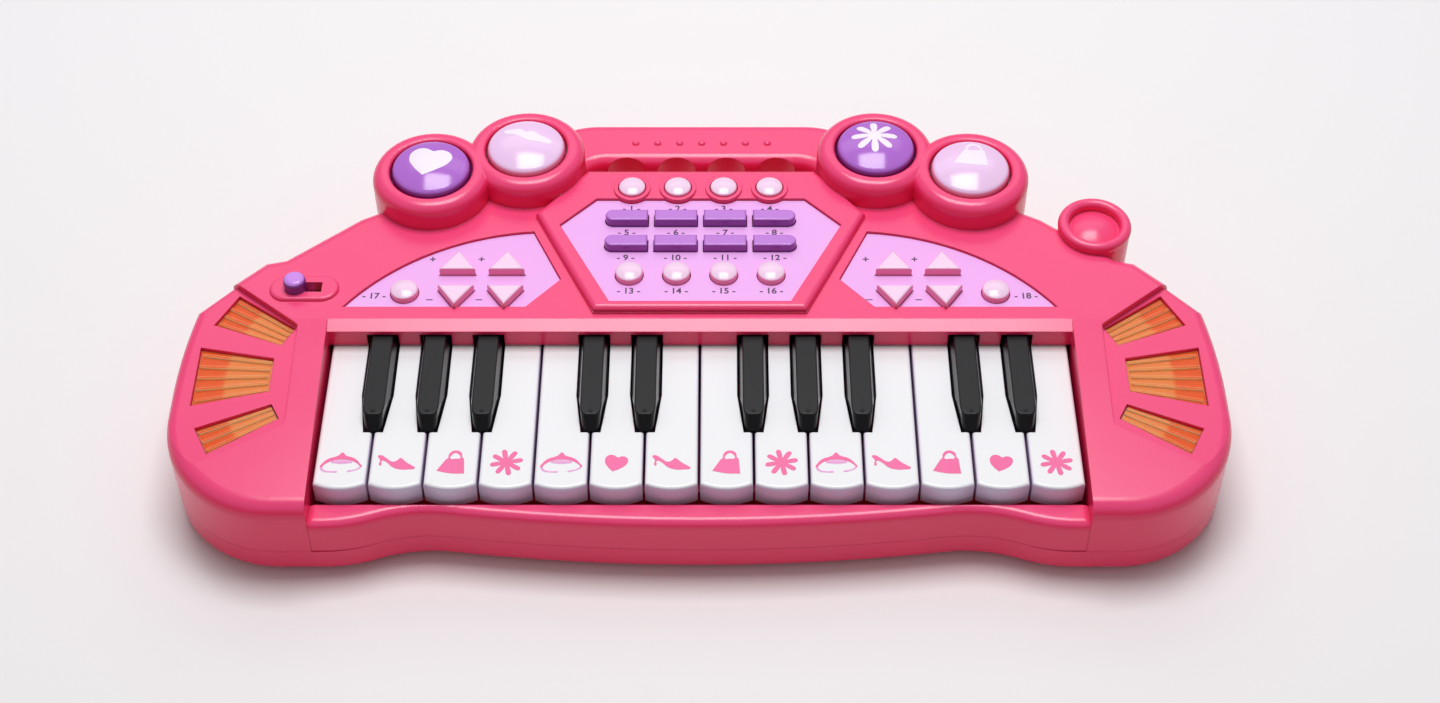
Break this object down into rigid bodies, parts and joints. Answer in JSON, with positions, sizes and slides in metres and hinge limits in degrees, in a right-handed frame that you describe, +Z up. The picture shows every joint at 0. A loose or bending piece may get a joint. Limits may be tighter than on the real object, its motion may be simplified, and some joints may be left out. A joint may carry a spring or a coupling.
{
  "type": "toy piano",
  "caption": "Toy electronic organ with sprung white and black keys, drum pads, tone buttons, light windows, a slide switch, a battery bay and a carry handle.",
  "frame": {"origin": "middle of the footprint, on the plane the feet stand on", "axes": "+X along the keyboard to the treble end, +Y from the player to the handle, +Z up"},
  "size_m": [0.363, 0.1934, 0.0576],
  "materials": {
    "pink_abs": "gloss",
    "lilac_print": "satin",
    "orange_acrylic": "gloss, translucent",
    "white_abs": "gloss",
    "charcoal_abs": "satin",
    "purple_abs": "gloss",
    "pale_pink_abs": "gloss",
    "board_laminate": "satin",
    "contact_rubber": "matte",
    "speaker_steel": "satin",
    "rod_steel": "drawn",
    "contact_nickel": "bright",
    "screw_steel": "bright"
  },
  "bodies": {
    "case": {"upper_case": "pink_abs", "lower_case": "pink_abs", "panel_overlays": "lilac_print", "light_lenses": "orange_acrylic", "circuit_boards": "board_laminate", "contact_rubbers": "contact_rubber", "loudspeaker": "speaker_steel", "key_pivot_rod": "rod_steel", "battery_contacts": "contact_nickel", "case_screws": "screw_steel"},
    "white_key_01": {"white_key_01": "white_abs"},
    "white_key_02": {"white_key_02": "white_abs"},
    "white_key_03": {"white_key_03": "white_abs"},
    "white_key_04": {"white_key_04": "white_abs"},
    "white_key_05": {"white_key_05": "white_abs"},
    "white_key_06": {"white_key_06": "white_abs"},
    "white_key_07": {"white_key_07": "white_abs"},
    "white_key_08": {"white_key_08": "white_abs"},
    "white_key_09": {"white_key_09": "white_abs"},
    "white_key_10": {"white_key_10": "white_abs"},
    "white_key_11": {"white_key_11": "white_abs"},
    "white_key_12": {"white_key_12": "white_abs"},
    "white_key_13": {"white_key_13": "white_abs"},
    "white_key_14": {"white_key_14": "white_abs"},
    "black_key_01": {"black_key_01": "charcoal_abs"},
    "black_key_02": {"black_key_02": "charcoal_abs"},
    "black_key_03": {"black_key_03": "charcoal_abs"},
    "black_key_04": {"black_key_04": "charcoal_abs"},
    "black_key_05": {"black_key_05": "charcoal_abs"},
    "black_key_06": {"black_key_06": "charcoal_abs"},
    "black_key_07": {"black_key_07": "charcoal_abs"},
    "black_key_08": {"black_key_08": "charcoal_abs"},
    "black_key_09": {"black_key_09": "charcoal_abs"},
    "black_key_10": {"black_key_10": "charcoal_abs"},
    "tone_button_1": {"tone_button_1": "purple_abs"},
    "tone_button_2": {"tone_button_2": "purple_abs"},
    "tone_button_3": {"tone_button_3": "purple_abs"},
    "tone_button_4": {"tone_button_4": "purple_abs"},
    "tone_button_5": {"tone_button_5": "purple_abs"},
    "tone_button_6": {"tone_button_6": "purple_abs"},
    "tone_button_7": {"tone_button_7": "purple_abs"},
    "tone_button_8": {"tone_button_8": "purple_abs"},
    "left_inner_up_button": {"left_inner_up_button": "pale_pink_abs"},
    "left_inner_down_button": {"left_inner_down_button": "pale_pink_abs"},
    "left_outer_up_button": {"left_outer_up_button": "pale_pink_abs"},
    "left_outer_down_button": {"left_outer_down_button": "pale_pink_abs"},
    "left_round_button": {"left_round_button": "pale_pink_abs"},
    "right_inner_up_button": {"right_inner_up_button": "pale_pink_abs"},
    "right_inner_down_button": {"right_inner_down_button": "pale_pink_abs"},
    "right_outer_up_button": {"right_outer_up_button": "pale_pink_abs"},
    "right_outer_down_button": {"right_outer_down_button": "pale_pink_abs"},
    "right_round_button": {"right_round_button": "pale_pink_abs"},
    "top_row_buttons": {"top_row_buttons": "pale_pink_abs"},
    "bottom_row_buttons": {"bottom_row_buttons": "pale_pink_abs"},
    "drum_pad_1": {"drum_pad_1": "purple_abs"},
    "drum_pad_2": {"drum_pad_2": "pale_pink_abs"},
    "drum_pad_3": {"drum_pad_3": "purple_abs"},
    "drum_pad_4": {"drum_pad_4": "pale_pink_abs"},
    "power_switch_knob": {"power_switch_knob": "purple_abs"},
    "battery_door": {"battery_door": "pink_abs"}
  },
  "joints": [
    {"name": "drum_pad_1_press", "type": "slide", "parent": "case", "child": "drum_pad_1", "axis": [0, 0, -1], "range_m": [0, 0.002], "stiffness_N_per_m": 300, "springref_m": -0.001},
    {"name": "drum_pad_2_press", "type": "slide", "parent": "case", "child": "drum_pad_2", "axis": [0, 0, -1], "range_m": [0, 0.002], "stiffness_N_per_m": 300, "springref_m": -0.001},
    {"name": "drum_pad_3_press", "type": "slide", "parent": "case", "child": "drum_pad_3", "axis": [0, 0, -1], "range_m": [0, 0.002], "stiffness_N_per_m": 300, "springref_m": -0.001},
    {"name": "drum_pad_4_press", "type": "slide", "parent": "case", "child": "drum_pad_4", "axis": [0, 0, -1], "range_m": [0, 0.002], "stiffness_N_per_m": 300, "springref_m": -0.001},
    {"name": "power_switch_slide", "type": "slide", "parent": "case", "child": "power_switch_knob", "axis": [1, 0, 0], "range_m": [0, 0.006]},
    {"name": "battery_door_lift", "type": "slide", "parent": "case", "child": "battery_door", "axis": [0, 0, -1], "range_m": [0, 0.03]},
    {"name": "white_key_01_swing", "type": "hinge", "parent": "case", "child": "white_key_01", "pos_m": [-0.12025, -0.00625, 0.025], "axis": [1, 0, 0], "range_deg": [0, 3], "stiffness_Nm_per_rad": 0.5, "springref_deg": -2.86},
    {"name": "white_key_02_swing", "type": "hinge", "parent": "case", "child": "white_key_02", "pos_m": [-0.10175, -0.00625, 0.025], "axis": [1, 0, 0], "range_deg": [0, 3], "stiffness_Nm_per_rad": 0.5, "springref_deg": -2.86},
    {"name": "white_key_03_swing", "type": "hinge", "parent": "case", "child": "white_key_03", "pos_m": [-0.08325, -0.00625, 0.025], "axis": [1, 0, 0], "range_deg": [0, 3], "stiffness_Nm_per_rad": 0.5, "springref_deg": -2.86},
    {"name": "white_key_04_swing", "type": "hinge", "parent": "case", "child": "white_key_04", "pos_m": [-0.06475, -0.00625, 0.025], "axis": [1, 0, 0], "range_deg": [0, 3], "stiffness_Nm_per_rad": 0.5, "springref_deg": -2.86},
    {"name": "white_key_05_swing", "type": "hinge", "parent": "case", "child": "white_key_05", "pos_m": [-0.04625, -0.00625, 0.025], "axis": [1, 0, 0], "range_deg": [0, 3], "stiffness_Nm_per_rad": 0.5, "springref_deg": -2.86},
    {"name": "white_key_06_swing", "type": "hinge", "parent": "case", "child": "white_key_06", "pos_m": [-0.02775, -0.00625, 0.025], "axis": [1, 0, 0], "range_deg": [0, 3], "stiffness_Nm_per_rad": 0.5, "springref_deg": -2.86},
    {"name": "white_key_07_swing", "type": "hinge", "parent": "case", "child": "white_key_07", "pos_m": [-0.00925, -0.00625, 0.025], "axis": [1, 0, 0], "range_deg": [0, 3], "stiffness_Nm_per_rad": 0.5, "springref_deg": -2.86},
    {"name": "white_key_08_swing", "type": "hinge", "parent": "case", "child": "white_key_08", "pos_m": [0.00925, -0.00625, 0.025], "axis": [1, 0, 0], "range_deg": [0, 3], "stiffness_Nm_per_rad": 0.5, "springref_deg": -2.86},
    {"name": "white_key_09_swing", "type": "hinge", "parent": "case", "child": "white_key_09", "pos_m": [0.02775, -0.00625, 0.025], "axis": [1, 0, 0], "range_deg": [0, 3], "stiffness_Nm_per_rad": 0.5, "springref_deg": -2.86},
    {"name": "white_key_10_swing", "type": "hinge", "parent": "case", "child": "white_key_10", "pos_m": [0.04625, -0.00625, 0.025], "axis": [1, 0, 0], "range_deg": [0, 3], "stiffness_Nm_per_rad": 0.5, "springref_deg": -2.86},
    {"name": "white_key_11_swing", "type": "hinge", "parent": "case", "child": "white_key_11", "pos_m": [0.06475, -0.00625, 0.025], "axis": [1, 0, 0], "range_deg": [0, 3], "stiffness_Nm_per_rad": 0.5, "springref_deg": -2.86},
    {"name": "white_key_12_swing", "type": "hinge", "parent": "case", "child": "white_key_12", "pos_m": [0.08325, -0.00625, 0.025], "axis": [1, 0, 0], "range_deg": [0, 3], "stiffness_Nm_per_rad": 0.5, "springref_deg": -2.86},
    {"name": "white_key_13_swing", "type": "hinge", "parent": "case", "child": "white_key_13", "pos_m": [0.10175, -0.00625, 0.025], "axis": [1, 0, 0], "range_deg": [0, 3], "stiffness_Nm_per_rad": 0.5, "springref_deg": -2.86},
    {"name": "white_key_14_swing", "type": "hinge", "parent": "case", "child": "white_key_14", "pos_m": [0.12025, -0.00625, 0.025], "axis": [1, 0, 0], "range_deg": [0, 3], "stiffness_Nm_per_rad": 0.5, "springref_deg": -2.86},
    {"name": "black_key_01_swing", "type": "hinge", "parent": "case", "child": "black_key_01", "pos_m": [-0.111, -0.00625, 0.025], "axis": [1, 0, 0], "range_deg": [0, 3], "stiffness_Nm_per_rad": 0.5, "springref_deg": -2.86},
    {"name": "black_key_02_swing", "type": "hinge", "parent": "case", "child": "black_key_02", "pos_m": [-0.0925, -0.00625, 0.025], "axis": [1, 0, 0], "range_deg": [0, 3], "stiffness_Nm_per_rad": 0.5, "springref_deg": -2.86},
    {"name": "black_key_03_swing", "type": "hinge", "parent": "case", "child": "black_key_03", "pos_m": [-0.074, -0.00625, 0.025], "axis": [1, 0, 0], "range_deg": [0, 3], "stiffness_Nm_per_rad": 0.5, "springref_deg": -2.86},
    {"name": "black_key_04_swing", "type": "hinge", "parent": "case", "child": "black_key_04", "pos_m": [-0.037, -0.00625, 0.025], "axis": [1, 0, 0], "range_deg": [0, 3], "stiffness_Nm_per_rad": 0.5, "springref_deg": -2.86},
    {"name": "black_key_05_swing", "type": "hinge", "parent": "case", "child": "black_key_05", "pos_m": [-0.0185, -0.00625, 0.025], "axis": [1, 0, 0], "range_deg": [0, 3], "stiffness_Nm_per_rad": 0.5, "springref_deg": -2.86},
    {"name": "black_key_06_swing", "type": "hinge", "parent": "case", "child": "black_key_06", "pos_m": [0.0185, -0.00625, 0.025], "axis": [1, 0, 0], "range_deg": [0, 3], "stiffness_Nm_per_rad": 0.5, "springref_deg": -2.86},
    {"name": "black_key_07_swing", "type": "hinge", "parent": "case", "child": "black_key_07", "pos_m": [0.037, -0.00625, 0.025], "axis": [1, 0, 0], "range_deg": [0, 3], "stiffness_Nm_per_rad": 0.5, "springref_deg": -2.86},
    {"name": "black_key_08_swing", "type": "hinge", "parent": "case", "child": "black_key_08", "pos_m": [0.0555, -0.00625, 0.025], "axis": [1, 0, 0], "range_deg": [0, 3], "stiffness_Nm_per_rad": 0.5, "springref_deg": -2.86},
    {"name": "black_key_09_swing", "type": "hinge", "parent": "case", "child": "black_key_09", "pos_m": [0.0925, -0.00625, 0.025], "axis": [1, 0, 0], "range_deg": [0, 3], "stiffness_Nm_per_rad": 0.5, "springref_deg": -2.86},
    {"name": "black_key_10_swing", "type": "hinge", "parent": "case", "child": "black_key_10", "pos_m": [0.111, -0.00625, 0.025], "axis": [1, 0, 0], "range_deg": [0, 3], "stiffness_Nm_per_rad": 0.5, "springref_deg": -2.86},
    {"name": "tone_button_1_press", "type": "slide", "parent": "case", "child": "tone_button_1", "axis": [0, 0, -1], "range_m": [0, 0.0012], "stiffness_N_per_m": 300, "springref_m": -0.001},
    {"name": "tone_button_2_press", "type": "slide", "parent": "case", "child": "tone_button_2", "axis": [0, 0, -1], "range_m": [0, 0.0012], "stiffness_N_per_m": 300, "springref_m": -0.001},
    {"name": "tone_button_3_press", "type": "slide", "parent": "case", "child": "tone_button_3", "axis": [0, 0, -1], "range_m": [0, 0.0012], "stiffness_N_per_m": 300, "springref_m": -0.001},
    {"name": "tone_button_4_press", "type": "slide", "parent": "case", "child": "tone_button_4", "axis": [0, 0, -1], "range_m": [0, 0.0012], "stiffness_N_per_m": 300, "springref_m": -0.001},
    {"name": "tone_button_5_press", "type": "slide", "parent": "case", "child": "tone_button_5", "axis": [0, 0, -1], "range_m": [0, 0.0012], "stiffness_N_per_m": 300, "springref_m": -0.001},
    {"name": "tone_button_6_press", "type": "slide", "parent": "case", "child": "tone_button_6", "axis": [0, 0, -1], "range_m": [0, 0.0012], "stiffness_N_per_m": 300, "springref_m": -0.001},
    {"name": "tone_button_7_press", "type": "slide", "parent": "case", "child": "tone_button_7", "axis": [0, 0, -1], "range_m": [0, 0.0012], "stiffness_N_per_m": 300, "springref_m": -0.001},
    {"name": "tone_button_8_press", "type": "slide", "parent": "case", "child": "tone_button_8", "axis": [0, 0, -1], "range_m": [0, 0.0012], "stiffness_N_per_m": 300, "springref_m": -0.001},
    {"name": "left_inner_up_button_press", "type": "slide", "parent": "case", "child": "left_inner_up_button", "axis": [0, 0, -1], "range_m": [0, 0.0012], "stiffness_N_per_m": 300, "springref_m": -0.001},
    {"name": "left_inner_down_button_press", "type": "slide", "parent": "case", "child": "left_inner_down_button", "axis": [0, 0, -1], "range_m": [0, 0.0012], "stiffness_N_per_m": 300, "springref_m": -0.001},
    {"name": "left_outer_up_button_press", "type": "slide", "parent": "case", "child": "left_outer_up_button", "axis": [0, 0, -1], "range_m": [0, 0.0012], "stiffness_N_per_m": 300, "springref_m": -0.001},
    {"name": "left_outer_down_button_press", "type": "slide", "parent": "case", "child": "left_outer_down_button", "axis": [0, 0, -1], "range_m": [0, 0.0012], "stiffness_N_per_m": 300, "springref_m": -0.001},
    {"name": "left_round_button_press", "type": "slide", "parent": "case", "child": "left_round_button", "axis": [0, 0, -1], "range_m": [0, 0.0012], "stiffness_N_per_m": 300, "springref_m": -0.001},
    {"name": "right_inner_up_button_press", "type": "slide", "parent": "case", "child": "right_inner_up_button", "axis": [0, 0, -1], "range_m": [0, 0.0012], "stiffness_N_per_m": 300, "springref_m": -0.001},
    {"name": "right_inner_down_button_press", "type": "slide", "parent": "case", "child": "right_inner_down_button", "axis": [0, 0, -1], "range_m": [0, 0.0012], "stiffness_N_per_m": 300, "springref_m": -0.001},
    {"name": "right_outer_up_button_press", "type": "slide", "parent": "case", "child": "right_outer_up_button", "axis": [0, 0, -1], "range_m": [0, 0.0012], "stiffness_N_per_m": 300, "springref_m": -0.001},
    {"name": "right_outer_down_button_press", "type": "slide", "parent": "case", "child": "right_outer_down_button", "axis": [0, 0, -1], "range_m": [0, 0.0012], "stiffness_N_per_m": 300, "springref_m": -0.001},
    {"name": "right_round_button_press", "type": "slide", "parent": "case", "child": "right_round_button", "axis": [0, 0, -1], "range_m": [0, 0.0012], "stiffness_N_per_m": 300, "springref_m": -0.001},
    {"name": "top_row_buttons_press", "type": "slide", "parent": "case", "child": "top_row_buttons", "axis": [0, 0, -1], "range_m": [0, 0.0012], "stiffness_N_per_m": 300, "springref_m": -0.001},
    {"name": "bottom_row_buttons_press", "type": "slide", "parent": "case", "child": "bottom_row_buttons", "axis": [0, 0, -1], "range_m": [0, 0.0012], "stiffness_N_per_m": 300, "springref_m": -0.001}
  ]
}
